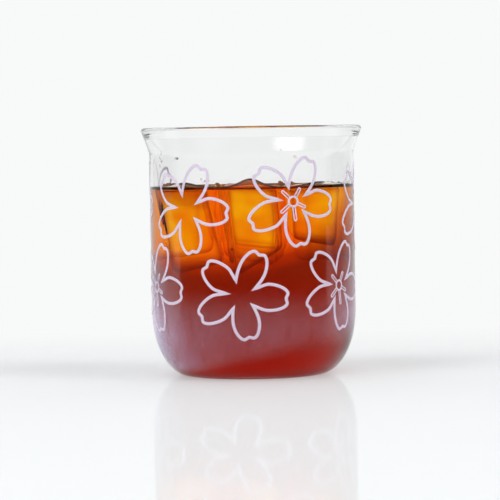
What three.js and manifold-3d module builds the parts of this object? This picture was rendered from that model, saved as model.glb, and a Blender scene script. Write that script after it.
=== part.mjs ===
// A flared coffee glass with printed blossoms, filled with iced coffee.
// Millimetres, +Z up, origin at the centre of the flat foot. The front is -Y.
import * as THREE from 'three';
import { mergeVertices } from 'three/addons/utils/BufferGeometryUtils.js';
import Module from 'manifold-3d';

// Glass: one blown body
const GLASS_HEIGHT = 89.7;
const BODY_DIAMETER = 74;
const FOOT_DIAMETER = 48;
const CORNER_HEIGHT = 23.5;
const FLARE_HEIGHT = 9.7;
const FLARE_OUT = 3;
const FLARE_POWER = 1.2;
const WALL = 1.5;
const LIP_THICKNESS = 2.4;
const BASE_THICKNESS = 2.5;

// Drink
const HEADSPACE = 22.3;
const MENISCUS_HEIGHT = 1.2;
const MENISCUS_WIDTH = 2.6;
const COFFEE_CLEARANCE = 0.3;

// Ice: seven loose blocks in three columns
const ICE_WALL_GAP = 1;
const ICE_GAP = 3.1;
const ICE_CLEARANCE = 0.35;
const ICE_BOB = 2.6;
const ICE_RISE = 2.2;
const ICE_SHARPNESS = 12;

// Enamel prints
const BLOSSOM_RADIUS = 17;
const BLOSSOM_VALLEY_RADIUS = 5.5;
const PETAL_HALF_WIDTH = 4.6;
const PETAL_WIDEST_AT = 9.8;
const LOBE_OFFSET = 1.6;
const NOTCH_DEPTH = 0.6;
const LINE_WIDTH = 1.1;
const BLOSSOM_GAP = 2.25;
const BLOSSOM_PITCH = 40;
const LOWER_ROW_COUNT = 5;
const ROOM_BELOW_PRINT_RATIO = 0.615;
const STAMEN_RISE = 2.2;
const LOWER_ROW_TURN = -6.9;
const ROW_SHIFT_RATIO = 0.48;
const STAMEN_WIDTH = 1.4;
const STAMEN_SLIT = 0.4;
const STAMEN_RING_RADIUS = 2.1;
const STAMEN_RING_LINE = 0.75;
const PRINT_CLEARANCE = 0.15;
const PRINT_THICKNESS = 0.25;

// Facets
const ROUND_STEPS = 48;
const CORNER_STEPS = 8;
const FLARE_STEPS = 4;
const LIP_STEPS = 4;
const ICE_GRID = 5;
const MENISCUS_STEPS = 3;
const PETAL_CURVE_STEPS = 4;
const STAMEN_END_STEPS = 3;
const RING_ARC_STEPS = 3;
const RING_HOLE_STEPS = 10;

const wasm = await Module();
wasm.setup();

// Shared by every piece: a closed mesh with its seams merged and no slivers of zero area
function closedMesh(geometry) {
  geometry.deleteAttribute('normal');
  geometry.deleteAttribute('uv');
  const merged = mergeVertices(geometry, 1e-4);
  const index = merged.getIndex().array;
  const kept = [];
  for (let i = 0; i < index.length; i += 3) {
    const [a, b, c] = [index[i], index[i + 1], index[i + 2]];
    if (a !== b && b !== c && c !== a) kept.push(a, b, c);
  }
  merged.setIndex(kept);
  merged.computeVertexNormals();
  return merged;
}

function toSolid(geometry) {
  return new wasm.Manifold(new wasm.Mesh({
    numProp: 3,
    vertProperties: new Float32Array(geometry.getAttribute('position').array),
    triVerts: new Uint32Array(geometry.getIndex().array),
  }));
}

function fromSolid(solid) {
  const { vertProperties, triVerts } = solid.getMesh();
  const geometry = new THREE.BufferGeometry();
  geometry.setAttribute('position', new THREE.BufferAttribute(new Float32Array(vertProperties), 3));
  geometry.setIndex([...triVerts]);
  geometry.computeVertexNormals();
  return geometry;
}

// A profile of [radius, height] points turned round the Z axis
function turned(profile) {
  const points = profile.map(([radius, height]) => new THREE.Vector2(radius, height));
  return closedMesh(new THREE.LatheGeometry(points, ROUND_STEPS).rotateX(Math.PI / 2));
}

function addPiece(parent, name, geometry, material) {
  const mesh = new THREE.Mesh(geometry, material);
  mesh.name = name;
  parent.add(mesh);
  return mesh;
}

const part = new THREE.Group();

// Glass body: the outer and inner radius at each height, then the lip between them
const bodyRadius = BODY_DIAMETER / 2;
const boreRadius = bodyRadius - WALL;
const rimRadius = bodyRadius + FLARE_OUT;
const footRadius = FOOT_DIAMETER / 2;
const lipRadius = LIP_THICKNESS / 2;
const lipHeight = GLASS_HEIGHT - lipRadius;
const flareStart = GLASS_HEIGHT - FLARE_HEIGHT;

function flareOut(height) {
  const share = THREE.MathUtils.clamp((height - flareStart) / (lipHeight - flareStart), 0, 1);
  return FLARE_OUT * share ** FLARE_POWER;
}

// An elliptical corner from the flat foot up to the straight wall
function cornerRadius(height, floor, wallRadius) {
  const down = THREE.MathUtils.clamp((CORNER_HEIGHT - height) / (CORNER_HEIGHT - floor), 0, 1);
  return footRadius + (wallRadius - footRadius) * Math.sqrt(1 - down * down);
}

function outerRadius(height) {
  return cornerRadius(height, 0, bodyRadius) + flareOut(height);
}

function cornerPoints(floor, wallRadius) {
  return Array.from({ length: CORNER_STEPS + 1 }, (_, i) => {
    const height = CORNER_HEIGHT - (CORNER_HEIGHT - floor) * Math.cos((i / CORNER_STEPS) * Math.PI / 2);
    return [cornerRadius(height, floor, wallRadius), height];
  });
}

function flarePoints(offset, steps) {
  return Array.from({ length: steps + 1 }, (_, i) => {
    const height = flareStart + (lipHeight - flareStart) * (i / FLARE_STEPS);
    return [bodyRadius - offset + flareOut(height), height];
  });
}

const lipPoints = Array.from({ length: LIP_STEPS }, (_, i) => {
  const angle = ((i + 1) / LIP_STEPS) * Math.PI;
  return [rimRadius - lipRadius + lipRadius * Math.cos(angle), lipHeight + lipRadius * Math.sin(angle)];
});

const glassProfile = [
  [0, 0],
  ...cornerPoints(0, bodyRadius),
  ...flarePoints(0, FLARE_STEPS),
  ...lipPoints,
  ...flarePoints(WALL, FLARE_STEPS - 1).reverse(),
  ...cornerPoints(BASE_THICKNESS, boreRadius).reverse(),
  [0, BASE_THICKNESS],
];

const glass = new THREE.MeshStandardMaterial({
  color: 0xf2f5f6, roughness: 0.04, metalness: 0, transparent: true, opacity: 0.3,
});
addPiece(part, 'glass_body', turned(glassProfile), glass);

// Ice blocks: each is the rounded meeting of six flat faces round its own centre.
// A cell is a place in plan, in steps of one block and its gap. Rise is how far the highest corner stands
// out of the coffee, in usual rises, and depth is the lowest corner's share of the coffee above the glass's
// rounded corner. A lean tips the right, back, left or front face inwards towards the bottom, a slope tips
// the top towards +X and +Y, and a foot tips the bottom so, all in degrees.
const ICE_BLOCKS = [
  {
    cell: [-1.04, -0.5], turn: -8, rise: 1.1, depth: 0.65,
    lean: [-11, 2, 11, 3], slope: [8, -28], foot: [14, 0],
  },
  {
    cell: [0.02, -1.14], turn: 9, rise: 1.1, depth: 0.69,
    lean: [-6, 2, 7, 3], slope: [2, -12], foot: [32, -6],
  },
  {
    cell: [1.02, -0.56], turn: 12, rise: 1, depth: 0.44,
    lean: [6, 3, 3, 5], slope: [-4, -16], foot: [-12, 8],
  },
  {
    cell: [-1, 0.6], turn: 9, rise: 0.89, depth: 0.56,
    lean: [3, 6, 8, 2], slope: [-6, 10], foot: [10, -6],
  },
  {
    cell: [0, 0.04], turn: -10, rise: 0.89, depth: 0.6,
    lean: [4, 3, 3, 4], slope: [14, 6], foot: [-16, 10],
  },
  {
    cell: [1.02, 0.58], turn: -7, rise: 1, depth: 0.59,
    lean: [8, 5, 3, 3], slope: [-8, 9], foot: [9, -8],
  },
  {
    cell: [0, 1.16], turn: 11, rise: 0.89, depth: 0.48,
    lean: [5, 8, 5, 2], slope: [6, -10], foot: [-10, 6],
  },
];
const coffeeLevel = GLASS_HEIGHT - HEADSPACE;
const iceCorners = ICE_BLOCKS.map(({ cell: [x, y] }) => Math.hypot(Math.abs(x) + 0.5, Math.abs(y) + 0.5));
const iceSpread = Math.max(...iceCorners);
const icePitch = (boreRadius - ICE_WALL_GAP) / iceSpread;
const iceWidth = icePitch - ICE_GAP;

// A sloped top or bottom face, as far out as puts its furthest corner at half the block's height
function endFace(slopeX, slopeY, up, height) {
  const normal = new THREE.Vector3(slopeX, slopeY, up).normalize();
  const across = Math.abs(normal.x) + Math.abs(normal.y);
  return { normal, distance: Math.abs(normal.z) * height / 2 - across * iceWidth / 2 };
}

function iceFaces(block, height) {
  const sides = [[1, 0], [0, 1], [-1, 0], [0, -1]].map(([x, y], i) => {
    const lean = THREE.MathUtils.degToRad(block.lean[i]);
    const normal = new THREE.Vector3(x * Math.cos(lean), y * Math.cos(lean), -Math.sin(lean));
    return { normal, distance: iceWidth / 2 };
  });
  const [slopeX, slopeY] = block.slope.map((angle) => Math.tan(THREE.MathUtils.degToRad(angle)));
  const [footX, footY] = block.foot.map((angle) => Math.tan(THREE.MathUtils.degToRad(angle)));
  return [...sides, endFace(slopeX, slopeY, 1, height), endFace(footX, footY, -1, height)];
}

// Along each direction from the centre, the surface lies where the faces' shares of the way out, each to a
// high power, add up to one. Grown moves every face out, and travel adds room to rise and sink.
function iceGeometry(block, grown, travel) {
  const depth = block.depth * (coffeeLevel - CORNER_HEIGHT);
  const rise = block.rise * ICE_RISE;
  const height = rise + depth;
  const faces = iceFaces(block, height);
  const geometry = closedMesh(new THREE.BoxGeometry(1, 1, 1, ICE_GRID, ICE_GRID, ICE_GRID));
  const position = geometry.getAttribute('position');
  const direction = new THREE.Vector3();
  for (let i = 0; i < position.count; i += 1) {
    direction.fromBufferAttribute(position, i);
    direction.multiply(new THREE.Vector3(iceWidth, iceWidth, height)).normalize();
    const total = faces.reduce((sum, { normal, distance }) => {
      const room = distance + grown + travel * Math.abs(normal.z);
      return sum + (Math.max(0, direction.dot(normal)) / room) ** ICE_SHARPNESS;
    }, 0);
    direction.multiplyScalar(total ** (-1 / ICE_SHARPNESS));
    position.setXYZ(i, direction.x, direction.y, direction.z);
  }
  geometry.rotateZ(THREE.MathUtils.degToRad(block.turn));
  geometry.translate(
    block.cell[0] * icePitch,
    block.cell[1] * icePitch,
    coffeeLevel + (rise - depth) / 2,
  );
  geometry.computeVertexNormals();
  return geometry;
}

const ice = new THREE.MeshStandardMaterial({
  color: 0xf6e3c8, roughness: 0.08, metalness: 0, transparent: true, opacity: 0.5,
});
ICE_BLOCKS.forEach((block, i) => {
  addPiece(part, `ice_block_${i + 1}`, iceGeometry(block, 0, 0), ice);
});

// Coffee: fills the bore a little off the glass, climbs it in a meniscus, and leaves each block its pocket
const coffeeRadius = boreRadius - COFFEE_CLEARANCE;
const coffeeFloor = BASE_THICKNESS + COFFEE_CLEARANCE;

// The meniscus falls from the wall along a parabola lying on its side
const meniscusPoints = Array.from({ length: MENISCUS_STEPS + 1 }, (_, i) => {
  const share = i / MENISCUS_STEPS;
  return [
    coffeeRadius - MENISCUS_WIDTH * share ** 2,
    coffeeLevel + MENISCUS_HEIGHT * (1 - share) ** 2,
  ];
});

const coffeeProfile = [
  [0, coffeeFloor],
  ...cornerPoints(coffeeFloor, coffeeRadius).map(([radius, height]) => [
    Math.min(radius, cornerRadius(height, BASE_THICKNESS, boreRadius) - COFFEE_CLEARANCE),
    height,
  ]),
  ...meniscusPoints,
  [0, coffeeLevel],
];

const coffee = new THREE.MeshStandardMaterial({
  color: 0x8c2408, roughness: 0.05, metalness: 0, transparent: true, opacity: 0.9,
});
const pockets = ICE_BLOCKS.map((block) => toSolid(iceGeometry(block, ICE_CLEARANCE, ICE_BOB)));
const filled = pockets.reduce((body, pocket) => body.subtract(pocket), toSolid(turned(coffeeProfile)));
addPiece(part, 'coffee', fromSolid(filled), coffee);

// Prints: flat outlines bent round the glass
function bentRound(geometry, azimuth, centreHeight) {
  const position = geometry.getAttribute('position');
  for (let i = 0; i < position.count; i += 1) {
    const angle = azimuth + position.getX(i) / bodyRadius;
    const height = centreHeight + position.getY(i);
    const radius = outerRadius(height) + PRINT_CLEARANCE + position.getZ(i);
    position.setXYZ(i, radius * Math.sin(angle), -radius * Math.cos(angle), height);
  }
  geometry.computeVertexNormals();
  return geometry;
}

// Drawn by hand, so no two petals or filaments are alike: where each petal points, where the valley before it
// lies, and where each filament points, all in degrees, and in millimetres how much shorter than the longest
// each petal is and how far each filament reaches
const PETAL_TURNS = [65, 141, 207, 280, 355];
const VALLEY_TURNS = [25, 108, 173, 239, 319];
const PETAL_TRIMS = [0.9, 0.5, 0, 1.4, 0.4];
const FILAMENT_TURNS = [60, 138, 220, 277, 337];
const FILAMENT_LENGTHS = [5.6, 5.8, 6.2, 7, 5.4];
const origin = new THREE.Vector2();

// One side of a petal that points along +X, from the valley a spread beside it round its lobe to the notch.
// It leaves the valley at an angle outwards and bulges to its widest.
const SIDE_HANDLE_RATIO = 0.35;
const SIDE_ANGLE = 15;

function petalSide(spread, length) {
  const valley = new THREE.Vector2(BLOSSOM_VALLEY_RADIUS, 0).rotateAround(origin, spread);
  const widest = new THREE.Vector2(PETAL_WIDEST_AT, PETAL_HALF_WIDTH);
  const lobe = new THREE.Vector2(length, LOBE_OFFSET);
  const notch = new THREE.Vector2(length - NOTCH_DEPTH, 0);
  const sideHandle = (widest.x - valley.x) * SIDE_HANDLE_RATIO;
  const leaving = new THREE.Vector2(sideHandle, 0).rotateAround(origin, THREE.MathUtils.degToRad(SIDE_ANGLE));
  const shoulderHandle = (lobe.x - widest.x) / 2;
  const side = new THREE.CubicBezierCurve(
    valley,
    valley.clone().add(leaving),
    new THREE.Vector2(widest.x - sideHandle, widest.y),
    widest,
  );
  const shoulder = new THREE.CubicBezierCurve(
    widest,
    new THREE.Vector2(widest.x + shoulderHandle, widest.y),
    new THREE.Vector2(lobe.x, (widest.y + lobe.y) / 2),
    lobe,
  );
  return [
    ...side.getPoints(PETAL_CURVE_STEPS),
    ...shoulder.getPoints(PETAL_CURVE_STEPS).slice(1),
    notch,
  ];
}

function blossomOutline() {
  return PETAL_TURNS.flatMap((tip, i) => {
    const next = (i + 1) % PETAL_TURNS.length;
    const wholeTurn = next === 0 ? 360 : 0;
    const length = BLOSSOM_RADIUS - PETAL_TRIMS[i];
    const before = petalSide(THREE.MathUtils.degToRad(tip - VALLEY_TURNS[i]), length);
    const after = petalSide(THREE.MathUtils.degToRad(VALLEY_TURNS[next] + wholeTurn - tip), length);
    const mirrored = before.map(({ x, y }) => new THREE.Vector2(x, -y));
    const petal = [...mirrored, ...after.slice(1, -1).reverse()];
    return petal.map((point) => point.clone().rotateAround(origin, THREE.MathUtils.degToRad(tip)));
  });
}

// A closed outline moved sideways by a distance, with its corners mitred
function movedOut(outline, distance) {
  const count = outline.length;
  return outline.map((point, i) => {
    const before = outline[(i + count - 1) % count];
    const after = outline[(i + 1) % count];
    const into = point.clone().sub(before).normalize();
    const out = after.clone().sub(point).normalize();
    const normalIn = new THREE.Vector2(into.y, -into.x);
    const normalOut = new THREE.Vector2(out.y, -out.x);
    const mitre = normalIn.clone().add(normalOut).normalize();
    return point.clone().addScaledVector(mitre, distance / mitre.dot(normalIn));
  });
}

// A flat rectangular section of the line's width and the print's thickness, carried round the outline
function blossomGeometry() {
  const outline = blossomOutline();
  const outside = movedOut(outline, LINE_WIDTH / 2);
  const inside = movedOut(outline, -LINE_WIDTH / 2);
  const corners = outline.flatMap((_, i) => [
    [outside[i], 0],
    [outside[i], PRINT_THICKNESS],
    [inside[i], PRINT_THICKNESS],
    [inside[i], 0],
  ]);
  const triangles = [];
  for (let i = 0; i < outline.length; i += 1) {
    const next = (i + 1) % outline.length;
    for (let side = 0; side < 4; side += 1) {
      const other = (side + 1) % 4;
      const [a, b, c, d] = [4 * i + side, 4 * next + side, 4 * next + other, 4 * i + other];
      triangles.push(a, b, c, a, c, d);
    }
  }
  const geometry = new THREE.BufferGeometry();
  const places = corners.flatMap(([point, up]) => [point.x, point.y, up]);
  geometry.setAttribute('position', new THREE.Float32BufferAttribute(places, 3));
  geometry.setIndex(triangles);
  return geometry;
}

// A long loop along a filament, round at its outer end, with straight sides from its inner end
function filamentOutline(inner, outer, width) {
  const half = width / 2;
  const end = Array.from({ length: STAMEN_END_STEPS + 1 }, (_, i) => {
    const angle = (i / STAMEN_END_STEPS - 0.5) * Math.PI;
    return new THREE.Vector2(outer - half + half * Math.cos(angle), half * Math.sin(angle));
  });
  return [new THREE.Vector2(inner, -half), ...end, new THREE.Vector2(inner, half)];
}

function stamenGeometry() {
  const half = STAMEN_WIDTH / 2;
  const ringInner = STAMEN_RING_RADIUS - STAMEN_RING_LINE;
  const meet = Math.asin(half / STAMEN_RING_RADIUS);
  const inner = STAMEN_RING_RADIUS * Math.cos(meet);
  const slitWall = (STAMEN_WIDTH - STAMEN_SLIT) / 2;
  const outline = [];
  const slits = [];
  FILAMENT_TURNS.forEach((degrees, i) => {
    const turn = THREE.MathUtils.degToRad(degrees);
    const next = (i + 1) % FILAMENT_TURNS.length;
    const wholeTurn = next === 0 ? 360 : 0;
    const apart = THREE.MathUtils.degToRad(FILAMENT_TURNS[next] + wholeTurn) - turn;
    const rotated = (point) => point.clone().rotateAround(origin, turn);
    outline.push(...filamentOutline(inner, FILAMENT_LENGTHS[i], STAMEN_WIDTH).map(rotated));
    for (let j = 1; j < RING_ARC_STEPS; j += 1) {
      const angle = meet + (apart - 2 * meet) * (j / RING_ARC_STEPS);
      outline.push(new THREE.Vector2(STAMEN_RING_RADIUS, 0).rotateAround(origin, turn + angle));
    }
    slits.push(filamentOutline(inner + slitWall, FILAMENT_LENGTHS[i] - slitWall, STAMEN_SLIT).map(rotated));
  });
  const hole = Array.from({ length: RING_HOLE_STEPS }, (_, i) => (
    new THREE.Vector2(ringInner, 0).rotateAround(origin, (i / RING_HOLE_STEPS) * 2 * Math.PI)
  ));
  const shape = new THREE.Shape(outline);
  shape.holes = [hole, ...slits].map((points) => new THREE.Path(points));
  return closedMesh(new THREE.ExtrudeGeometry(shape, { depth: PRINT_THICKNESS, bevelEnabled: false }));
}

const enamel = new THREE.MeshStandardMaterial({ color: 0xdcd3ea, roughness: 0.35, metalness: 0 });

// Two staggered rows on one printed sheet, whose ends leave the back of the glass bare: the upper row stands
// over the gaps of the lower. The height that they leave free under the lip is shared out below and above
// them.
const blossomSpace = 2 * BLOSSOM_RADIUS + BLOSSOM_GAP;
const rowStep = Math.sqrt(blossomSpace ** 2 - (BLOSSOM_PITCH / 2) ** 2);
const blossomStep = BLOSSOM_PITCH / bodyRadius;
const freeHeight = lipHeight - 2 * BLOSSOM_RADIUS - rowStep - STAMEN_RISE;
const lowerRow = freeHeight * ROOM_BELOW_PRINT_RATIO + BLOSSOM_RADIUS;
const firstTurn = THREE.MathUtils.degToRad(LOWER_ROW_TURN) - ((LOWER_ROW_COUNT - 1) / 2) * blossomStep;

['lower', 'upper'].forEach((row, rowIndex) => {
  for (let i = 0; i < LOWER_ROW_COUNT - rowIndex; i += 1) {
    const withStamens = (i + rowIndex) % 2 === 1;
    const turn = firstTurn + (i + rowIndex * ROW_SHIFT_RATIO) * blossomStep;
    const height = lowerRow + rowIndex * rowStep + (withStamens ? STAMEN_RISE : 0);
    addPiece(part, `blossom_${row}_${i + 1}`, bentRound(blossomGeometry(), turn, height), enamel);
    if (withStamens) {
      addPiece(part, `stamens_${row}_${i + 1}`, bentRound(stamenGeometry(), turn, height), enamel);
    }
  }
});

export default part;
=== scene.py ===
"""A flared glass of iced coffee with blossom outlines fired on its wall. Metres, +Z up, front towards -Y."""

import bpy
import numpy as np
from mathutils import Matrix, Vector


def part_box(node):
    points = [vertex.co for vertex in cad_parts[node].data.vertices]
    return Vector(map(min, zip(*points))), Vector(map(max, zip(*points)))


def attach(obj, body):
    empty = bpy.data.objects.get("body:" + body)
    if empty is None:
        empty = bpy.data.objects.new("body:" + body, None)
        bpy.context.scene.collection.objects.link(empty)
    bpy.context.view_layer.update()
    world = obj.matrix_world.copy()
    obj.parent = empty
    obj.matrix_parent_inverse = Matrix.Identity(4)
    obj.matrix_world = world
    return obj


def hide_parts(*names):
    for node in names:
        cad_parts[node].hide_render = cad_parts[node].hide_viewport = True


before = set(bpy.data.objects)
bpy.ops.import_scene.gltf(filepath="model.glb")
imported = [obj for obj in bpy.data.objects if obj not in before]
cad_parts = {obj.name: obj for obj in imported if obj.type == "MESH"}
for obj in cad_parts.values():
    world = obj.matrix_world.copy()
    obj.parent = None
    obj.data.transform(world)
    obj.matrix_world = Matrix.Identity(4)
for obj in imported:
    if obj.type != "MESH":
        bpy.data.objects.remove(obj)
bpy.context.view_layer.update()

# Glass body: a tumbler blown from borosilicate tube. Flat foot, round corner, straight wall and flared lip
# are one melt, and the lip is fire-polished to a round bead. The cold drink mists its lower outside.
# Sizes here and up to the stage are in millimetres.
MM = 0.001
GLASS_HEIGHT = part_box("glass_body")[1].z / MM
RIM_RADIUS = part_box("glass_body")[1].x / MM
FLARE_OUT = 3.0
FLARE_HEIGHT = 9.7
FLARE_POWER = 1.2
WALL = 1.5
LIP_RADIUS = 1.2
FOOT_RADIUS = 24.0
CORNER_HEIGHT = 23.5
BASE_THICKNESS = 2.5
BODY_RADIUS = RIM_RADIUS - FLARE_OUT
BORE_RADIUS = BODY_RADIUS - WALL
LIP_HEIGHT = GLASS_HEIGHT - LIP_RADIUS
FLARE_START = GLASS_HEIGHT - FLARE_HEIGHT
COFFEE_LEVEL = 67.4
MENISCUS_HEIGHT = 1.2
ROUND_STEPS = 256
CORNER_STEPS = 40
WALL_STEPS = 24
FLARE_STEPS = 20
LIP_STEPS = 16
STEPS_UNDER_BEAD = 5


def linear(hex_colour):
    """An sRGB hex value as linear red, green, blue and alpha."""
    share = np.array([int(hex_colour[i:i + 2], 16) for i in (1, 3, 5)]) / 255
    light = np.where(share <= 0.04045, share / 12.92, ((share + 0.055) / 1.055) ** 2.4)
    return (*light.tolist(), 1.0)


def add(tree, kind, inputs=None, **settings):
    """Adds a shader node, sets its properties, and gives each input a value or a link from an output."""
    node = tree.nodes.new("ShaderNode" + kind)
    for name, value in settings.items():
        setattr(node, name, value)
    for name, value in (inputs or {}).items():
        if isinstance(value, bpy.types.NodeSocket):
            tree.links.new(value, node.inputs[name])
        else:
            node.inputs[name].default_value = value
    return node


def new_material(name):
    """An empty node material, with its tree and its output node."""
    made = bpy.data.materials.new(name)
    made.use_nodes = True
    made.node_tree.nodes.clear()
    return made, made.node_tree, add(made.node_tree, "OutputMaterial")


def solid(name, points, faces, *materials):
    """A smooth mesh object at the origin, from points in millimetres."""
    mesh = bpy.data.meshes.new(name)
    mesh.from_pydata((points * MM).tolist(), [], faces)
    for made in materials:
        mesh.materials.append(made)
    mesh.shade_smooth()
    made_object = bpy.data.objects.new(name, mesh)
    bpy.context.scene.collection.objects.link(made_object)
    return made_object


def face_centres(mesh):
    """The middle of each face, in millimetres."""
    centres = np.empty(len(mesh.polygons) * 3)
    mesh.polygons.foreach_get("center", centres)
    return centres.reshape(-1, 3) / MM


def corner(floor, wall_radius):
    """A quarter ellipse from the flat floor up to the wall: r = foot + span sin t, z = top - drop cos t."""
    t = np.linspace(0, np.pi / 2, CORNER_STEPS)
    radius = FOOT_RADIUS + (wall_radius - FOOT_RADIUS) * np.sin(t)
    return radius, CORNER_HEIGHT - (CORNER_HEIGHT - floor) * np.cos(t)


def flare(height):
    """How far the wall has turned outwards at a height: the share of the flare passed, to a power."""
    share = np.clip((height - FLARE_START) / (LIP_HEIGHT - FLARE_START), 0, 1)
    return FLARE_OUT * share ** FLARE_POWER


def outer_radius(height):
    """The outside of the glass at a height: the corner's ellipse, the wall, and the flare added."""
    down = np.clip((CORNER_HEIGHT - height) / CORNER_HEIGHT, 0, 1)
    return FOOT_RADIUS + (BODY_RADIUS - FOOT_RADIUS) * np.sqrt(1 - down ** 2) + flare(height)


def turned(radius, height):
    """A profile that starts and ends on the axis, turned about it: x = r sin a, y = -r cos a.
    Radius and height hold one row for each ring, and a ring may vary with the angle."""
    here = np.arange(ROUND_STEPS)
    after = (here + 1) % ROUND_STEPS
    angle = here * (2 * np.pi / ROUND_STEPS)
    rings = np.stack(np.broadcast_arrays(radius * np.sin(angle), -radius * np.cos(angle), height), axis=2)
    ends = np.stack([rings[0].mean(0), rings[-1].mean(0)])
    rings = rings[1:-1]
    row = np.arange(len(rings) - 1)[:, None] * ROUND_STEPS
    above = row + ROUND_STEPS
    quads = np.stack(np.broadcast_arrays(row + here, row + after, above + after, above + here), axis=2)
    last = (len(rings) - 1) * ROUND_STEPS
    first_end = np.full(ROUND_STEPS, len(rings) * ROUND_STEPS)
    fan_below = np.stack([first_end, after, here], axis=1)
    fan_above = np.stack([last + here, last + after, first_end + 1], axis=1)
    faces = quads.reshape(-1, 4).tolist() + fan_below.tolist() + fan_above.tolist()
    return np.concatenate([rings.reshape(-1, 3), ends]), faces


# The outline goes up the outside, round the lip and down the inside, which has a ring at the waterline
outside_r, outside_z = corner(0, BODY_RADIUS)
wall_z = np.linspace(CORNER_HEIGHT, FLARE_START, WALL_STEPS)[1:-1]
flare_z = np.linspace(FLARE_START, LIP_HEIGHT, FLARE_STEPS)
lip_turn = np.linspace(0, np.pi, LIP_STEPS)[1:]
inner_flare_z = flare_z[-1 - STEPS_UNDER_BEAD::-1]
inside_r, inside_z = corner(BASE_THICKNESS, BORE_RADIUS)
waterline_z = COFFEE_LEVEL + MENISCUS_HEIGHT
inner_wall_z = np.sort(np.append(wall_z, waterline_z))[::-1]
glass_r = np.concatenate([
    [0], outside_r, np.full_like(wall_z, BODY_RADIUS), BODY_RADIUS + flare(flare_z),
    RIM_RADIUS - LIP_RADIUS + LIP_RADIUS * np.cos(lip_turn),
    BORE_RADIUS + flare(inner_flare_z), np.full_like(inner_wall_z, BORE_RADIUS), inside_r[::-1], [0],
])
glass_z = np.concatenate([
    [0], outside_z, wall_z, flare_z, LIP_HEIGHT + LIP_RADIUS * np.sin(lip_turn),
    inner_flare_z, inner_wall_z, inside_z[::-1], [BASE_THICKNESS],
])

# Blown glass has long soft waves. Mist is a film of fine droplets, drawn coarser than they are so that they
# show, and it scatters a little white light. It reaches higher where it is seen edge-on than face-on, has
# runs of water in it, and is thinner to the right and just over the foot, where a hand has wiped it.
GLASS_IOR = 1.47
COFFEE_IOR = 1.335
WAVE_LENGTH = 16.0
WAVE_DEPTH = 0.09
MIST_TOP = 34.0
MIST_FULL = 15.0
MIST_SHARE = 0.13
EDGE_MIST_TOP = 48.0
EDGE_MIST_FULL = 20.0
EDGE_MIST_SHARE = 0.55
MIST_BOTTOM = 5.0
MIST_SLANT = 0.15
MIST_FADE = 8.0
MIST_FADE_SLANT = 0.16
CLOUD_SIZE = 22.0
DROPLET_SIZE = 0.8
RUN_WIDTH = 3.0
RUN_LENGTH = 22.0
WIPED_REACH = 32.0


def draw_waves(tree, place):
    """The normal of glass with soft waves, from noise of their length and depth."""
    waves = add(tree, "TexNoise", {"Vector": place, "Scale": 1 / (WAVE_LENGTH * MM), "Detail": 1.0})
    return add(tree, "Bump", {
        "Height": waves.outputs["Fac"], "Distance": WAVE_DEPTH * MM, "Strength": 0.8,
    }).outputs[0]


borosilicate, tree, out = new_material("blown borosilicate glass")
place = add(tree, "TexCoord").outputs["Object"]
spot = add(tree, "SeparateXYZ", {0: place}).outputs
low_down = add(tree, "MapRange", {
    "Value": spot["Z"], "From Min": MIST_TOP * MM, "From Max": MIST_FULL * MM,
}, interpolation_type="SMOOTHSTEP").outputs[0]
face_on = add(tree, "Math", {0: low_down, 1: MIST_SHARE}, operation="MULTIPLY").outputs[0]
edge_low = add(tree, "MapRange", {
    "Value": spot["Z"], "From Min": EDGE_MIST_TOP * MM, "From Max": EDGE_MIST_FULL * MM,
}).outputs[0]
edge_on = add(tree, "LayerWeight", {"Blend": 0.5}).outputs["Facing"]
edge_on = add(tree, "MapRange", {
    "Value": edge_on, "From Min": 0.2, "From Max": 0.9, "To Max": EDGE_MIST_SHARE,
}, interpolation_type="SMOOTHSTEP").outputs[0]
edge_on = add(tree, "Math", {0: edge_on, 1: edge_low}, operation="MULTIPLY").outputs[0]
mist = add(tree, "Math", {0: face_on, 1: edge_on}, operation="ADD").outputs[0]
clouds = add(tree, "TexNoise", {"Vector": place, "Scale": 1 / (CLOUD_SIZE * MM), "Detail": 3.0})
patchy = add(tree, "MapRange", {
    "Value": clouds.outputs["Fac"], "From Min": 0.3, "From Max": 0.6, "To Min": 0.6,
}).outputs[0]
droplets = add(tree, "TexNoise", {"Vector": place, "Scale": 1 / (DROPLET_SIZE * MM), "Detail": 2.0})
grain = add(tree, "MapRange", {
    "Value": droplets.outputs["Fac"], "From Min": 0.3, "From Max": 0.7, "To Min": 0.8, "To Max": 1.2,
}).outputs[0]
drawn_out = add(tree, "Mapping", {
    0: place, "Scale": (1 / (RUN_WIDTH * MM), 1 / (RUN_WIDTH * MM), 1 / (RUN_LENGTH * MM)),
}).outputs[0]
run_down = add(tree, "TexNoise", {"Vector": drawn_out, "Scale": 1.0, "Detail": 1.0})
runs = add(tree, "MapRange", {
    "Value": run_down.outputs["Fac"], "From Min": 0.34, "From Max": 0.44, "To Min": 0.75,
}).outputs[0]
wiped = add(tree, "MapRange", {
    "Value": spot["X"], "From Min": WIPED_REACH * MM, "From Max": -WIPED_REACH * MM,
    "To Min": 0.6, "To Max": 1.05,
}).outputs[0]
slanting = add(tree, "VectorMath", {
    0: place, 1: (-MIST_SLANT, 0, 1),
}, operation="DOT_PRODUCT").outputs["Value"]
soft_end = add(tree, "Math", {
    0: spot["X"], 1: MIST_FADE_SLANT, 2: (MIST_BOTTOM + MIST_FADE) * MM,
}, operation="MULTIPLY_ADD").outputs[0]
off_foot = add(tree, "MapRange", {
    "Value": slanting, "From Min": MIST_BOTTOM * MM, "From Max": soft_end,
}, interpolation_type="SMOOTHSTEP").outputs[0]
for share in (patchy, grain, runs, wiped, off_foot):
    mist = add(tree, "Math", {0: mist, 1: share}, operation="MULTIPLY").outputs[0]
clear_share = add(tree, "Math", {0: 1.0, 1: mist}, operation="SUBTRACT").outputs[0]
misted = add(tree, "MapRange", {"Value": mist, "From Max": 0.15}).outputs[0]
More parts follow.
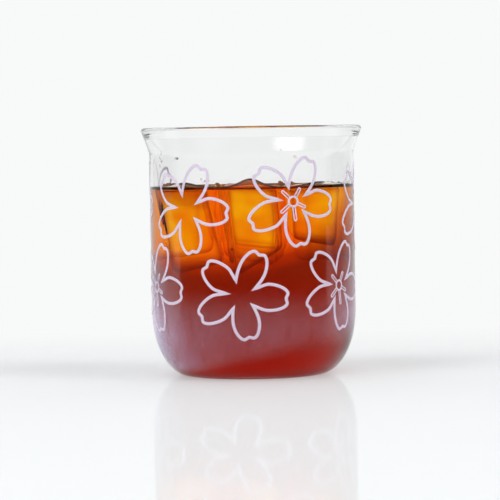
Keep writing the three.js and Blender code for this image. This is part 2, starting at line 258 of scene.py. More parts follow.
cool = add(tree, "Mix", {
    0: misted, 6: linear("#fefefe"), 7: linear("#e2d6f8"),
}, data_type="RGBA").outputs[2]
glass_shader = add(tree, "BsdfPrincipled", {
    "Base Color": cool, "Roughness": 0.0, "IOR": GLASS_IOR, "Transmission Weight": clear_share,
    "Normal": draw_waves(tree, place),
})
tree.links.new(glass_shader.outputs[0], out.inputs["Surface"])

# Where coffee wets the inside, light bends only by the ratio of the two indices
wetted, tree, out = new_material("borosilicate glass wetted by coffee")
place = add(tree, "TexCoord").outputs["Object"]
wet_shader = add(tree, "BsdfPrincipled", {
    "Base Color": linear("#ffffff"), "Roughness": 0.0, "IOR": GLASS_IOR / COFFEE_IOR,
    "Transmission Weight": 1.0, "Normal": draw_waves(tree, place),
})
tree.links.new(wet_shader.outputs[0], out.inputs["Surface"])

glass = solid("glass_tumbler", *turned(glass_r[:, None], glass_z[:, None]), borosilicate, wetted)
centres = face_centres(glass.data)
distance = np.hypot(centres[:, 0], centres[:, 1])
inside = (distance < outer_radius(centres[:, 2]) - WALL / 2) & (centres[:, 2] > BASE_THICKNESS / 2)
below_waterline = centres[:, 2] < waterline_z
glass.data.polygons.foreach_set("material_index", (inside & below_waterline).astype(np.int32))
# Clear glass lets the light on to what is in it and behind it
glass.visible_shadow = False
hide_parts("glass_body")
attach(glass, "glass")

# Ice: seven loose blocks of clear ice from a tray, their edges melted round. They float side by side with
# their tops just out of the coffee and bob in it, so the coffee keeps a pocket round each.
ICE_GAP = 3.1
ICE_WALL_GAP = 1.0
ICE_RISE = 2.2
ICE_SHARPNESS = 12
ICE_GRID = 24
DIMPLE_DEPTH = 0.012
DIMPLE_WAVES = ((0.55, 0.35, 0.1), (-0.2, 0.5, 0.45))

# Each block has its place in steps of the pitch, its turn in degrees, the shares of the usual rise and of
# the coffee's straight depth that it takes up, and in degrees the lean of its right, back, left and front
# and the slopes of its top and foot. The last column is painted shade on those six faces: how much darker
# and browner the coffee shows there, so that the faces look lit and shaded.
ICE_BLOCKS = [
    {"cell": (-1.04, -0.5), "turn": -8, "rise": 1.1, "depth": 0.65, "lean": (-11, 2, 11, 3),
     "slope": (8, -28), "foot": (14, 0), "facet_shade": (0.8, 0, 0.8, 0, 0.8, 0.6)},
    {"cell": (0.02, -1.14), "turn": 9, "rise": 1.1, "depth": 0.69, "lean": (-6, 2, 7, 3),
     "slope": (2, -12), "foot": (32, -6), "facet_shade": (0.5, 0, 0.2, 0, 0.6, 0.8)},
    {"cell": (1.02, -0.56), "turn": 12, "rise": 1, "depth": 0.44, "lean": (6, 3, 3, 5),
     "slope": (-4, -16), "foot": (-12, 8), "facet_shade": (0.4, 0, 0.6, 0, 0.8, 0.8)},
    {"cell": (-1, 0.6), "turn": 9, "rise": 0.89, "depth": 0.56, "lean": (3, 6, 8, 2),
     "slope": (-6, 10), "foot": (10, -6), "facet_shade": (0, 0, 0, 0, 0, 0)},
    {"cell": (0, 0.04), "turn": -10, "rise": 0.89, "depth": 0.6, "lean": (4, 3, 3, 4),
     "slope": (14, 6), "foot": (-16, 10), "facet_shade": (0, 0, 0, 0, 0, 0)},
    {"cell": (1.02, 0.58), "turn": -7, "rise": 1, "depth": 0.59, "lean": (8, 5, 3, 3),
     "slope": (-8, 9), "foot": (9, -8), "facet_shade": (0, 0, 0, 0, 0, 0)},
    {"cell": (0, 1.16), "turn": 11, "rise": 0.89, "depth": 0.48, "lean": (5, 8, 5, 2),
     "slope": (6, -10), "foot": (-10, 6), "facet_shade": (0, 0, 0, 0, 0, 0)},
]
ice_spread = max(np.hypot(abs(x) + 0.5, abs(y) + 0.5) for x, y in (block["cell"] for block in ICE_BLOCKS))
ICE_PITCH = (BORE_RADIUS - ICE_WALL_GAP) / ice_spread
ICE_WIDTH = ICE_PITCH - ICE_GAP


def box_directions(steps):
    """Points of a cube's six faces on a grid, welded at the edges, with its faces turned outwards."""
    u, v = np.meshgrid(np.linspace(-1, 1, steps + 1), np.linspace(-1, 1, steps + 1), indexing="ij")
    one = np.ones_like(u)
    sides = [(one, u, v), (-one, -u, v), (-u, one, v), (u, -one, v), (u, v, one), (-u, v, -one)]
    points = np.concatenate([np.stack(side, axis=2).reshape(-1, 3) for side in sides])
    welded, where = np.unique(np.round(points, 6), axis=0, return_inverse=True)
    i, j = np.meshgrid(np.arange(steps), np.arange(steps), indexing="ij")
    start = i * (steps + 1) + j
    square = np.stack([start, start + steps + 1, start + steps + 2, start + 1], axis=2).reshape(-1, 4)
    squares = np.concatenate([square + side * (steps + 1) ** 2 for side in range(6)])
    return welded, where.reshape(-1)[squares]


def ice_planes(block, grown, travel):
    """A block's six faces as normals and distances from its middle, then its turn about +Z and its middle.
    Grown moves every face out, and travel adds room to rise and sink."""
    depth = block["depth"] * (COFFEE_LEVEL - CORNER_HEIGHT)
    rise = block["rise"] * ICE_RISE
    lean = np.radians(block["lean"])
    around = np.array([(1, 0), (0, 1), (-1, 0), (0, -1)])
    sides = np.column_stack([around * np.cos(lean)[:, None], -np.sin(lean)])
    slopes = np.tan(np.radians([block["slope"], block["foot"]]))
    ends = np.column_stack([slopes, (1, -1)])
    ends = ends / np.linalg.norm(ends, axis=1, keepdims=True)
    ends_out = np.abs(ends[:, 2]) * (rise + depth) / 2 - np.abs(ends[:, :2]).sum(1) * ICE_WIDTH / 2
    normals = np.concatenate([sides, ends])
    room = np.concatenate([np.full(4, ICE_WIDTH / 2), ends_out]) + grown + travel * np.abs(normals[:, 2])
    turn = np.radians(block["turn"])
    turning = np.array([(np.cos(turn), np.sin(turn), 0), (-np.sin(turn), np.cos(turn), 0), (0, 0, 1)])
    x, y = block["cell"]
    middle = (x * ICE_PITCH, y * ICE_PITCH, COFFEE_LEVEL + (rise - depth) / 2)
    return normals, room, turning, middle


def face_shares(points, normals, room):
    """How far each point is on the way out to each face, to a high power: one in all on the surface."""
    return np.maximum(0, points @ normals.T / room) ** ICE_SHARPNESS


def ice_shape(block, grown, travel):
    """Along each direction the surface lies where the shares of the six faces add up to one.
    Melting dimples it by the product of two waves."""
    normals, room, turning, middle = ice_planes(block, grown, travel)
    directions, faces = box_directions(ICE_GRID)
    directions = directions * (1, 1, room[4:].sum() / ICE_WIDTH)
    directions /= np.linalg.norm(directions, axis=1, keepdims=True)
    points = directions * face_shares(directions, normals, room).sum(1)[:, None] ** (-1 / ICE_SHARPNESS)
    first_wave, second_wave = DIMPLE_WAVES
    dimples = np.sin(points @ first_wave + block["turn"]) * np.sin(points @ second_wave)
    points *= 1 - DIMPLE_DEPTH * (0.5 + 0.5 * dimples[:, None])
    return points @ turning + middle, faces.tolist()


# Clear ice in air bends light less than glass does. Its melting skin is glossy with faint ripples, and a
# film of coffee stays in them.
ICE_IOR = 1.31
RIPPLE_LENGTH = 4.0
RIPPLE_DEPTH = 0.15
clear_ice, tree, out = new_material("clear melting ice")
place = add(tree, "TexCoord").outputs["Object"]
ripples = add(tree, "TexNoise", {"Vector": place, "Scale": 1 / (RIPPLE_LENGTH * MM), "Detail": 2.0})
ripples = ripples.outputs["Fac"]
filmed = add(tree, "MapRange", {"Value": ripples, "From Min": 0.35, "From Max": 0.65}).outputs[0]
browned = add(tree, "Mix", {
    0: filmed, 6: linear("#e8b060"), 7: linear("#70401c"),
}, data_type="RGBA").outputs[2]
ice_shader = add(tree, "BsdfPrincipled", {
    "Base Color": browned, "Roughness": 0.02, "IOR": ICE_IOR, "Transmission Weight": 1.0,
    "Normal": add(tree, "Bump", {
        "Height": ripples, "Distance": RIPPLE_DEPTH * MM, "Strength": 0.5,
    }).outputs[0],
})
tree.links.new(ice_shader.outputs[0], out.inputs["Surface"])

# Under the surface the coffee's own wall of the pocket bends the light, so the ice there only passes it on
sunk_ice, tree, out = new_material("clear ice under coffee")
sunk_shader = add(tree, "BsdfPrincipled", {
    "Base Color": linear("#ffffff"), "Roughness": 0.0, "IOR": 1.0, "Transmission Weight": 1.0,
})
tree.links.new(sunk_shader.outputs[0], out.inputs["Surface"])

for number, block in enumerate(ICE_BLOCKS, 1):
    ice = solid(f"ice_cube_{number}", *ice_shape(block, 0, 0), clear_ice, sunk_ice)
    sunk = face_centres(ice.data)[:, 2] < COFFEE_LEVEL
    ice.data.polygons.foreach_set("material_index", sunk.astype(np.int32))
    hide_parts(f"ice_block_{number}")
    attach(ice, f"ice_block_{number}")

# Coffee: black coffee poured over the ice to 22 mm under the lip. It wets the glass and climbs it in a
# meniscus, higher where a block stands close to the wall. A climb is where it is round the glass in degrees
# from the front, its half width in degrees, and how much higher than the rest it goes in millimetres.
WALL_FILM = 0.02
MENISCUS_WIDTH = 2.6
MENISCUS_STEPS = 10
CLIMBS = [(-1, 8, 2.8), (-41, 10, 1.6), (20, 8, -0.4), (42, 12, 1.3), (75, 15, 1.2), (-78, 14, 0.5)]
POCKET_CLEARANCE = 0.2
POCKET_TRAVEL = 2.2
SHARP_ANGLE = 40

# The outline runs from the axis along the floor, round the corner and up the wall. From there the meniscus
# falls inwards by r = wall - width s squared, z = level + climb (1 - s) squared.
around = np.arange(ROUND_STEPS) * (360 / ROUND_STEPS)
climb = MENISCUS_HEIGHT + sum(
    rise * np.exp(-(((around - at + 180) % 360 - 180) / wide) ** 2) for at, wide, rise in CLIMBS)
edge_r, edge_z = corner(BASE_THICKNESS + WALL_FILM, BORE_RADIUS - WALL_FILM)
inwards = np.linspace(0, 1, MENISCUS_STEPS + 1)[:, None]
ring = np.ones((1, ROUND_STEPS))
meniscus_r = (BORE_RADIUS - WALL_FILM - MENISCUS_WIDTH * inwards ** 2) * ring
meniscus_z = COFFEE_LEVEL + climb * (1 - inwards) ** 2
coffee_r = np.concatenate([0 * ring, edge_r[:, None] * ring, meniscus_r, 0 * ring])
coffee_z = np.concatenate([
    (BASE_THICKNESS + WALL_FILM) * ring, edge_z[:, None] * ring, meniscus_z, COFFEE_LEVEL * ring])

# Black coffee passes nearly all red light and swallows blue. Its surface bends light by what lies on the
# other side: air above, ice in the pockets, and nothing at the wall, where the wetted glass already does.
# Melting ice thins it towards the top: strengths and shade are its tints at the wall by the share of its
# height, and that share counts for less to both sides. They grow darker towards the bottom, partly for the
# thinning and partly as painted shade, and end in a painted dark band just over the foot. Edge shades are
# painted shade: darker tints on the rounded edges of the pockets and, from the meniscus stop on, from the
# foot of the meniscus to a painted dark rim.
PASSED_PER_MM = (0.9995, 0.968, 0.67, 1)
THIN_MIDDLE = -12.0
THIN_WIDTH = 77.0
MENISCUS_STOP = 0.72
# Painted shade: the lower stops are darker than the thinning alone makes them, the lowest a dark band over
# the foot
STRENGTHS_AND_SHADE = [(0.02, "#5c1c20"), (0.06, "#a83c48"), (0.52, "#885030"), (0.59, "#b88258"), (0.66, "#fffaf4")]
# Painted shade: darker tints for the rounded edges of the pockets and the rim of the meniscus
EDGE_SHADES = [
    (0.03, "#ffffff"), (0.5, "#e2b47c"), (0.7, "#e2b47c"), (MENISCUS_STOP, "#d45c10"), (0.96, "#2c120c")]
MELT_CLOUD = 8.0
coffee_liquid, tree, out = new_material("black coffee over ice")
place = add(tree, "TexCoord").outputs["Object"]
spot = add(tree, "SeparateXYZ", {0: place}).outputs
aside = add(tree, "Math", {0: spot["X"], 1: THIN_MIDDLE * MM}, operation="SUBTRACT").outputs[0]
aside = add(tree, "Math", {0: aside, 1: THIN_WIDTH * MM}, operation="DIVIDE").outputs[0]
aside = add(tree, "Math", {0: aside, 1: aside}, operation="MULTIPLY").outputs[0]
bowl = add(tree, "Math", {0: 1.0, 1: aside}, operation="SUBTRACT").outputs[0]
thinned = add(tree, "Math", {0: spot["Z"], 1: COFFEE_LEVEL * MM}, operation="DIVIDE").outputs[0]
thinned = add(tree, "Math", {0: thinned, 1: bowl}, operation="MULTIPLY").outputs[0]
strength_and_shade = add(tree, "ValToRGB", {"Fac": thinned})
# Painted shade: the rounding of each point picks a darker tint at the pockets' edges and the meniscus rim
rounded = add(tree, "Attribute", attribute_name="rounding").outputs["Fac"]
edges = add(tree, "ValToRGB", {"Fac": rounded})
# A new ramp has two stops, so the others are added before all get their places
for ramp, stops in ((strength_and_shade.color_ramp, STRENGTHS_AND_SHADE), (edges.color_ramp, EDGE_SHADES)):
    for _ in stops[2:]:
        ramp.elements.new(0.5)
    for stop, (at, colour) in zip(ramp.elements, stops):
        stop.position = at
        stop.color = linear(colour)
cloudy = add(tree, "TexNoise", {"Vector": place, "Scale": 1 / (MELT_CLOUD * MM), "Detail": 1.0})
cloudy = add(tree, "MapRange", {
    "Value": cloudy.outputs["Fac"], "From Min": 0.45, "From Max": 0.65,
}).outputs[0]
inner = add(tree, "Mix", {
    0: cloudy, 6: linear("#fff8ec"), 7: linear("#fad8a8"),
}, data_type="RGBA").outputs[2]
# Painted shade: some faces of the front blocks get a darker, browner tint, so that the blocks look lit and
# shaded
facet_shaded = add(tree, "Attribute", attribute_name="facet_shade").outputs["Fac"]
facet_shaded = add(tree, "Mix", {
    0: facet_shaded, 6: linear("#ffffff"), 7: linear("#a85c20"),
}, data_type="RGBA").outputs[2]
for darker in (edges.outputs[0], facet_shaded):
    inner = add(tree, "Mix", {
        0: 1.0, 6: inner, 7: darker,
    }, data_type="RGBA", blend_type="MULTIPLY").outputs[2]
at_wall = add(tree, "Attribute", attribute_name="at_wall").outputs["Fac"]
tint = add(tree, "Mix", {0: at_wall, 6: inner, 7: strength_and_shade.outputs[0]}, data_type="RGBA").outputs[2]
coffee_shader = add(tree, "BsdfPrincipled", {
    "Base Color": tint, "Roughness": 0.0, "Transmission Weight": 1.0,
    "IOR": add(tree, "Attribute", attribute_name="bending").outputs["Fac"],
})
absorbing = add(tree, "VolumeAbsorption", {"Color": PASSED_PER_MM, "Density": 1.0 / MM})
tree.links.new(coffee_shader.outputs[0], out.inputs["Surface"])
tree.links.new(absorbing.outputs[0], out.inputs["Volume"])


def joined_shapes(shapes):
    """Several shapes' points and faces as one mesh: each shape's faces count on from the points before it."""
    counts = np.cumsum([0] + [len(points) for points, _ in shapes]).tolist()
    faces = [[index + start for index in face] for start, (_, many) in zip(counts, shapes) for face in many]
    return np.concatenate([points for points, _ in shapes]), faces


# The pockets are the blocks' own shapes with room to bob, cut out of the liquid
coffee = solid("iced_coffee", *turned(coffee_r, coffee_z), coffee_liquid)
pocket_shapes = [ice_shape(block, POCKET_CLEARANCE, POCKET_TRAVEL) for block in ICE_BLOCKS]
pockets = solid("pockets", *joined_shapes(pocket_shapes), coffee_liquid)
cutting = coffee.modifiers.new("pockets", "BOOLEAN")
cutting.operation = "DIFFERENCE"
cutting.solver = "EXACT"
cutting.object = pockets
settled = bpy.context.evaluated_depsgraph_get()
whole = coffee.data
coffee.data = bpy.data.meshes.new_from_object(coffee.evaluated_get(settled))
coffee.modifiers.clear()
bpy.data.objects.remove(pockets)
bpy.data.meshes.remove(whole)
coffee.data.set_sharp_from_angle(angle=np.radians(SHARP_ANGLE))

# What each face bends the light by: those that look up at the level are the top, those at the bore the wall
NEAR_LEVEL = 0.01
LOOKS_UP = 0.02
NEAR_BORE = 0.3
NEAR_BASE = 0.1
centres = face_centres(coffee.data)
distance = np.hypot(centres[:, 0], centres[:, 1])
facing = np.empty(len(centres) * 3)
coffee.data.polygons.foreach_get("normal", facing)
up = facing.reshape(-1, 3)[:, 2]
down = np.clip((CORNER_HEIGHT - centres[:, 2]) / (CORNER_HEIGHT - BASE_THICKNESS), 0, 1)
bore = FOOT_RADIUS + (BORE_RADIUS - FOOT_RADIUS) * np.sqrt(1 - down ** 2)
on_top = (centres[:, 2] > COFFEE_LEVEL - NEAR_LEVEL) & (up > LOOKS_UP)
on_wall = ~on_top & ((distance > bore - NEAR_BORE) | (centres[:, 2] < BASE_THICKNESS + NEAR_BASE))
bending = np.where(on_top, COFFEE_IOR, np.where(on_wall, 1.0, COFFEE_IOR / ICE_IOR))
coffee.data.attributes.new("bending", "FLOAT", "FACE").data.foreach_set("value", bending)
coffee.data.attributes.new("at_wall", "FLOAT", "FACE").data.foreach_set("value", on_wall.astype(float))

# How rounded each point of a pocket is, from how evenly its faces share the point, and the painted shade
# of those faces. On the meniscus rounding goes on from its stop, up to one at the wetted rim.
# Rounding picks the painted edge shade of the coffee's tints.
POCKET_SURFACE = 0.99
POCKET_SKIN = 0.02
CLIMB_START = 0.05
OUTLINE_HEIGHT = 0.7
places = np.empty(len(coffee.data.vertices) * 3)
coffee.data.vertices.foreach_get("co", places)
places = places.reshape(-1, 3) / MM
rounding = np.zeros(len(places))
facet_shade = np.zeros(len(places))
for block in ICE_BLOCKS:
    normals, room, turning, middle = ice_planes(block, POCKET_CLEARANCE, POCKET_TRAVEL)
    shares = face_shares((places - middle) @ turning.T, normals, room)
    total = np.maximum(shares.sum(1), 1e-9)
    on_pocket = np.abs(total ** (1 / ICE_SHARPNESS) - POCKET_SURFACE) < POCKET_SKIN
    rounding = np.where(on_pocket, 1 - shares.max(1) / total, rounding)
    facet_shade = np.where(on_pocket, shares @ block["facet_shade"] / total, facet_shade)
from_wall = BORE_RADIUS - np.hypot(places[:, 0], places[:, 1])
climbing = (places[:, 2] > COFFEE_LEVEL + CLIMB_START) & (from_wall < MENISCUS_WIDTH)
turns = np.degrees(np.arctan2(places[:, 0], -places[:, 1]))
below_edge = COFFEE_LEVEL + np.interp(turns, around, climb, period=360) - places[:, 2]
outlined = np.clip((MENISCUS_HEIGHT - below_edge) / OUTLINE_HEIGHT, 0, 1)
rounding = np.where(climbing, MENISCUS_STOP + (1 - MENISCUS_STOP) * outlined, rounding)
coffee.data.attributes.new("rounding", "FLOAT", "POINT").data.foreach_set("value", rounding)
coffee.data.attributes.new("facet_shade", "FLOAT", "POINT").data.foreach_set("value", facet_shade)
# Like the glass, the coffee lets light on to what is in it and behind it
coffee.visible_shadow = False
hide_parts("coffee")
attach(coffee, "glass")

# Froth and drops: bubbles that the pouring left on the coffee between the ice, splashes of water on the
# inside of the glass above it, and dew that condensed on the cold outside. A patch of froth reaches from
# one corner to another on the surface, and its bubbles heap up to a height.
BEAD_STEPS = 3
FROTH = [
    {"from": (-33.0, -4.0), "to": (-27.0, 12.0), "count": 60, "heap": 1.4},
    {"from": (-28.0, -1.6), "to": (-9.0, 3.4), "count": 60, "heap": 1.2},
    {"from": (9.5, -2.0), "to": (29.0, 2.6), "count": 70, "heap": 1.2},
    {"from": (28.0, -2.0), "to": (33.0, 12.0), "count": 40, "heap": 0.6},
    {"from": (-9.5, -13.0), "to": (9.5, -8.0), "count": 26, "heap": 0.4},
]
FROTH_RADII = (0.25, 0.75)
FROTH_LIFT = 0.02
FROTH_ICE_ROOM = 1.3
FROTH_WALL_ROOM = 0.5
SWIRL_SIZE = 0.6
CHANCE_SEED = 7
chance = np.random.default_rng(CHANCE_SEED)


def beads(name, centres, radii, turns, material):
    """Many small round beads as one mesh: each is stretched along the glass's normal, round it and up, then
    turned to its place round the axis."""
    directions, faces = box_directions(BEAD_STEPS)
    directions = directions / np.linalg.norm(directions, axis=1, keepdims=True)
    out, across, up = np.moveaxis(directions[None] * radii[:, None], 2, 0)
    sine, cosine = np.sin(turns)[:, None], np.cos(turns)[:, None]
    around_own = np.stack([out * sine + across * cosine, across * sine - out * cosine, up], axis=2)
    points = around_own + centres[:, None]
    many = faces[None] + (np.arange(len(centres)) * len(directions))[:, None, None]
    return solid(name, points.reshape(-1, 3), many.reshape(-1, 4).tolist(), material)


def near_ice(points, radii):
    """Which beads come too near a block: inside its square, grown by the room round it and their radius."""
    taken = np.zeros(len(points), bool)
    for block in ICE_BLOCKS:
        turn = np.radians(block["turn"])
        apart = points[:, :2] - np.array(block["cell"]) * ICE_PITCH
        along = apart @ np.array([(np.cos(turn), -np.sin(turn)), (np.sin(turn), np.cos(turn))])
        taken |= np.abs(along).max(1) < ICE_WIDTH / 2 + FROTH_ICE_ROOM + radii
    return taken


# A bubble's film of coffee: light brown, uneven, and seen through with little bending of the light
film, tree, out = new_material("coffee bubble film")
film_place = add(tree, "TexCoord").outputs["Object"]
swirls = add(tree, "TexNoise", {"Vector": film_place, "Scale": 1 / (SWIRL_SIZE * MM)}).outputs["Fac"]
film_tint = add(tree, "Mix", {
    0: swirls, 6: linear("#d09868"), 7: linear("#8c5838"),
}, data_type="RGBA").outputs[2]
film_shader = add(tree, "BsdfPrincipled", {
    "Base Color": film_tint, "Roughness": 0.05, "IOR": 1.12, "Transmission Weight": 0.75,
})
tree.links.new(film_shader.outputs[0], out.inputs["Surface"])

froth_spots = []
for patch in FROTH:
    spots = chance.uniform((*patch["from"], 0, 0), (*patch["to"], 1, patch["heap"]), (patch["count"], 4))
    froth_spots.append(spots)
froth_spots = np.concatenate(froth_spots)
froth_radii = FROTH_RADII[0] + (FROTH_RADII[1] - FROTH_RADII[0]) * froth_spots[:, 2] ** 2
froth_heights = COFFEE_LEVEL + FROTH_LIFT + froth_radii + froth_spots[:, 3]
froth_centres = np.column_stack([froth_spots[:, :2], froth_heights])
froth_reach = BORE_RADIUS - MENISCUS_WIDTH - FROTH_WALL_ROOM
kept = ~near_ice(froth_centres, froth_radii) & (np.hypot(*froth_centres[:, :2].T) < froth_reach)
froth_centres, froth_radii = froth_centres[kept], froth_radii[kept]
froth_sizes = np.repeat(froth_radii[:, None], 3, 1)
froth = beads("coffee_froth", froth_centres, froth_sizes, np.zeros(len(froth_radii)), film)
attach(froth, "glass")

# Water: clear drops that bend the light a little less than the glass under them. A splash has its place in
# degrees from the front and millimetres up, its spread in both, and its drops' radii round the glass and up.
SPLASHES = [
    {"at": (-64, 78.6), "spread": (3.0, 1.2), "count": 7, "size": (0.5, 0.9)},
    {"at": (-46, 78.4), "spread": (1.5, 0.3), "count": 3, "size": (1.4, 0.5)},
    {"at": (-29, 70.6), "spread": (2.2, 0.7), "count": 6, "size": (0.35, 0.45)},
    {"at": (20, 80.0), "spread": (5.0, 1.5), "count": 4, "size": (0.5, 0.4)},
]
SMALLEST_DROP = 0.4
DROP_FLATNESS = 0.4
DROP_GAP = 0.05
DEW_COUNT = 260
DEW_BAND = 12.0
DEW_SHARE_BELOW_CORNER = 0.9
DEW_RADII = (0.08, 0.2)
DEW_SHAPE = (0.5, 1, 1.1)
DEW_GAP = 0.02
WATER_IOR = 1.333
DUST_SIZE = 0.3
water, tree, out = new_material("water drops")
water_place = add(tree, "TexCoord").outputs["Object"]
dust = add(tree, "TexNoise", {"Vector": water_place, "Scale": 1 / (DUST_SIZE * MM)}).outputs["Fac"]
water_shader = add(tree, "BsdfPrincipled", {
    "Base Color": linear("#fdfdfd"), "Roughness": 0.0, "IOR": WATER_IOR, "Transmission Weight": 1.0,
    "Normal": add(tree, "Bump", {"Height": dust, "Distance": 0.01 * MM, "Strength": 0.3}).outputs[0],
})
tree.links.new(water_shader.outputs[0], out.inputs["Surface"])


def about_axis(radius, angle, height):
    """Points at a radius, an angle from the front and a height: x = r sin a, y = -r cos a."""
    return np.column_stack([radius * np.sin(angle), -radius * np.cos(angle), height])


drop_places = []
drop_sizes = []
for splash in SPLASHES:
    drop_places.append(chance.normal(splash["at"], splash["spread"], (splash["count"], 2)))
    sizes = np.array(splash["size"]) * chance.uniform(SMALLEST_DROP, 1.0, (splash["count"], 1))
    drop_sizes.append(np.column_stack([sizes.min(1) * DROP_FLATNESS, sizes]))
drop_places = np.concatenate(drop_places)
drop_sizes = np.concatenate(drop_sizes)
drop_turns = np.radians(drop_places[:, 0])
drop_heights = drop_places[:, 1]
drop_radius = outer_radius(drop_heights) - WALL - DROP_GAP - drop_sizes[:, 0]
drop_centres = about_axis(drop_radius, drop_turns, drop_heights)
splashes = beads("splashes_inside", drop_centres, drop_sizes, drop_turns, water)
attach(splashes, "glass")

dew_turns = chance.uniform(0, 2 * np.pi, DEW_COUNT)
dew_heights = CORNER_HEIGHT + DEW_BAND * (chance.uniform(0, 1, DEW_COUNT) ** 2 - DEW_SHARE_BELOW_CORNER)
dew_sizes = chance.uniform(*DEW_RADII, (DEW_COUNT, 1)) * DEW_SHAPE
dew_radius = outer_radius(dew_heights) + dew_sizes[:, 0] + DEW_GAP
dew = beads("dew_outside", about_axis(dew_radius, dew_turns, dew_heights), dew_sizes, dew_turns, water)
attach(dew, "glass")

# Blossom prints: two staggered rows of five-petal outlines, every second one with stamens, screened in pale
# enamel and fired onto the outside of the glass, a tenth of a millimetre proud. Turns are in degrees.
BLOSSOM_RADIUS = 17.0
VALLEY_RADIUS = 5.5
PETAL_WIDEST = (9.8, 4.6)
LOBE_OFFSET = 1.6
NOTCH_DEPTH = 0.6
LINE_WIDTH = 1.1
ENAMEL_THICKNESS = 0.1
ENAMEL_GAP = 0.02
SECTION_ACROSS = (0.5, 0.5, 0.38, 0, -0.38, -0.5, -0.5)
SECTION_LIFT = (0, 0.5, 0.9, 1, 0.9, 0.5, 0)
PETAL_TURNS = (65, 141, 207, 280, 355)
PETAL_TRIMS = (0.9, 0.5, 0, 1.4, 0.4)
VALLEY_TURNS = (25, 108, 173, 239, 319)
FILAMENT_TURNS = (60, 138, 220, 277, 337)
FILAMENT_LENGTHS = (5.6, 5.8, 6.2, 7.0, 5.4)
FILAMENT_WIDTH = 1.4
FILAMENT_LINE = 0.5
RING_RADIUS = 2.1
RING_LINE = 0.75
BLOSSOM_GAP = 2.25
BLOSSOM_PITCH = 40.0
LOWER_ROW_COUNT = 5
LOWER_ROW_TURN = -6.9
ROW_SHIFT_RATIO = 0.48
ROOM_BELOW_PRINT_RATIO = 0.615
STAMEN_RISE = 2.2
SIDE_ANGLE = 15
SIDE_HANDLE_RATIO = 0.35
CURVE_STEPS = 10
RING_STEPS = 40
TIP_STEPS = 9

# Neighbours in the two rows stand a blossom and a gap apart, measured along the slant between them
row_step = np.sqrt((2 * BLOSSOM_RADIUS + BLOSSOM_GAP) ** 2 - (BLOSSOM_PITCH / 2) ** 2)
blossom_step = np.degrees(BLOSSOM_PITCH / BODY_RADIUS)
free_height = LIP_HEIGHT - 2 * BLOSSOM_RADIUS - row_step - STAMEN_RISE
lower_row = free_height * ROOM_BELOW_PRINT_RATIO + BLOSSOM_RADIUS
first_turn = LOWER_ROW_TURN - (LOWER_ROW_COUNT - 1) / 2 * blossom_step


def bezier(a, b, c, d):
    """Points of a cubic curve from a to d with handles b and c, without its end."""
    t = np.linspace(0, 1, CURVE_STEPS, endpoint=False)[:, None]
    a, b, c, d = (np.array(point, float) for point in (a, b, c, d))
    return a * (1 - t) ** 3 + 3 * b * t * (1 - t) ** 2 + 3 * c * t ** 2 * (1 - t) + d * t ** 3


def turned_flat(path, degrees):
    """A flat path turned about the origin."""
    turn = np.radians(degrees)
    return path @ np.array([(np.cos(turn), np.sin(turn)), (-np.sin(turn), np.cos(turn))])


def petal_side(spread, length):
    """Half a petal along +X: from the valley a spread beside it out to its widest and round to the lobe."""
    valley = VALLEY_RADIUS * np.array([np.cos(np.radians(spread)), np.sin(np.radians(spread))])
    widest = np.array(PETAL_WIDEST)
    lobe = np.array([length, LOBE_OFFSET])
    side_handle = np.array([(widest[0] - valley[0]) * SIDE_HANDLE_RATIO, 0])
    shoulder_handle = np.array([(lobe[0] - widest[0]) / 2, 0])
    side = bezier(valley, valley + turned_flat(side_handle, SIDE_ANGLE), widest - side_handle, widest)
    shoulder = bezier(widest, widest + shoulder_handle, (lobe[0], (widest[1] + lobe[1]) / 2), lobe)
    return np.concatenate([side, shoulder, [lobe]])


def blossom_path():
    """Five petals drawn by hand, each from the valley before it over its notched tip to the next valley."""
    petals = []
    valleys_after = (*VALLEY_TURNS[1:], VALLEY_TURNS[0] + 360)
    for tip, before, after, trim in zip(PETAL_TURNS, VALLEY_TURNS, valleys_after, PETAL_TRIMS):
        length = BLOSSOM_RADIUS - trim
        out = petal_side(tip - before, length) * (1, -1)
        back = petal_side(after - tip, length)[:0:-1]
        petals.append(turned_flat(np.concatenate([out, [[length - NOTCH_DEPTH, 0]], back]), tip))
    return np.concatenate(petals)


def ribbon(path, width, closed):
    """A low domed section, in shares of the width and the thickness, carried along a flat path: each of its
    points moves sideways along the mitre of the path's corner."""
    before = np.roll(path, 1, axis=0)
    after = np.roll(path, -1, axis=0)
    if not closed:
        before[0] = 2 * path[0] - path[1]
        after[-1] = 2 * path[-1] - path[-2]
    into = (path - before) / np.linalg.norm(path - before, axis=1, keepdims=True)
    onward = (after - path) / np.linalg.norm(after - path, axis=1, keepdims=True)
    normal_in = into[:, ::-1] * (1, -1)
    mitre = normal_in + onward[:, ::-1] * (1, -1)
    mitre /= np.linalg.norm(mitre, axis=1, keepdims=True)
    mitre /= (mitre * normal_in).sum(1, keepdims=True)
    across = np.array(SECTION_ACROSS) * width
    lift = np.array(SECTION_LIFT) * ENAMEL_THICKNESS
    flat = path[:, None] + mitre[:, None] * across[None, :, None]
    points = np.concatenate([flat, np.broadcast_to(lift[None, :, None], (*flat.shape[:2], 1))], axis=2)
    count, wide = flat.shape[:2]
    here = np.arange(count if closed else count - 1)[:, None] * wide
    next_row = (here + wide) % (count * wide)
    side = np.arange(wide)
    other = (side + 1) % wide
    corners = np.broadcast_arrays(here + side, next_row + side, next_row + other, here + other)
    faces = np.stack(corners, axis=2).reshape(-1, 4).tolist()
    if not closed:
        faces += [side.tolist(), (side[::-1] + (count - 1) * wide).tolist()]
    return points.reshape(-1, 3), faces


def bent_round(points, azimuth, centre_height):
    """Wraps a flat print round the glass: sideways becomes angle, and its lift stands on the surface."""
    angle = np.radians(azimuth) + points[:, 0] / BODY_RADIUS
    height = centre_height + points[:, 1]
    return about_axis(outer_radius(height) + ENAMEL_GAP + points[:, 2], angle, height)


